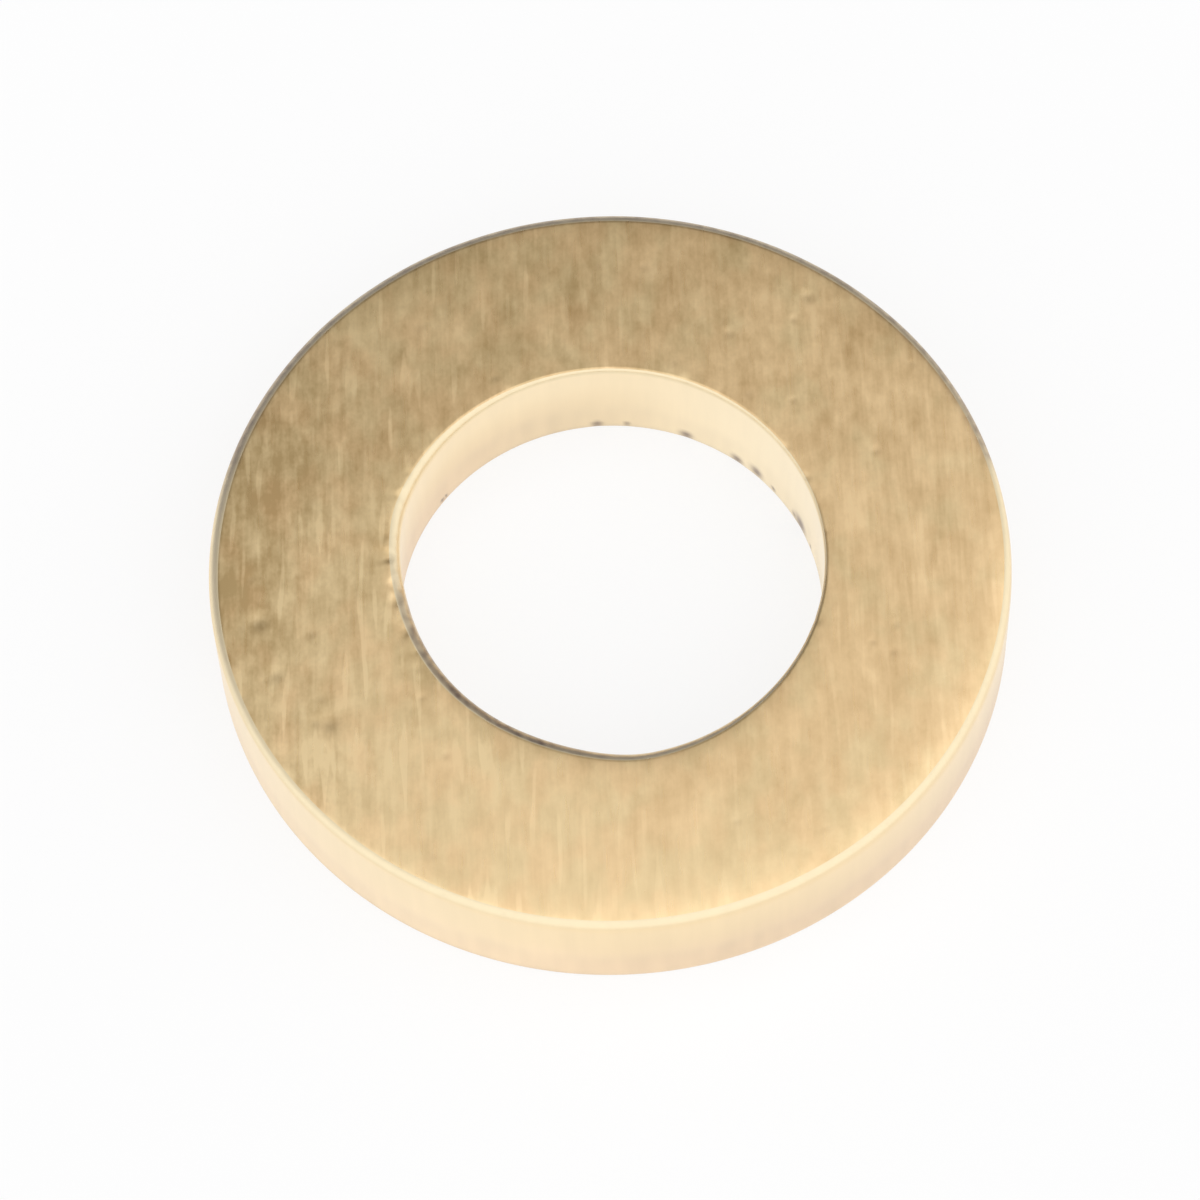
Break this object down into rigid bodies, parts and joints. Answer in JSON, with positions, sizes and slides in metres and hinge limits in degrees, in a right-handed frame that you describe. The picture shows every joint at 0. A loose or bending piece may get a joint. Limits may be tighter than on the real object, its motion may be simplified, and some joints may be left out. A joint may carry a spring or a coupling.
{
  "type": "flat washer",
  "caption": "Plain round brass flat washer for an M6 bolt, a flat ring with a central clearance hole and softly rounded edges that spreads a fastener's load.",
  "frame": {"origin": "centre of the hole on the underside, the face that rests on a surface", "axes": "+Z along the hole's axis, from the underside towards the top face with its rolled edges; X and Y lie in the plane of the ring and are interchangeable"},
  "size_m": [0.012, 0.012, 0.0018],
  "materials": {
    "brass": "finely brushed flat face with a light tarnish, smooth rolled edges and walls"
  },
  "bodies": {
    "root": {"washer": "brass"}
  },
  "joints": []
}
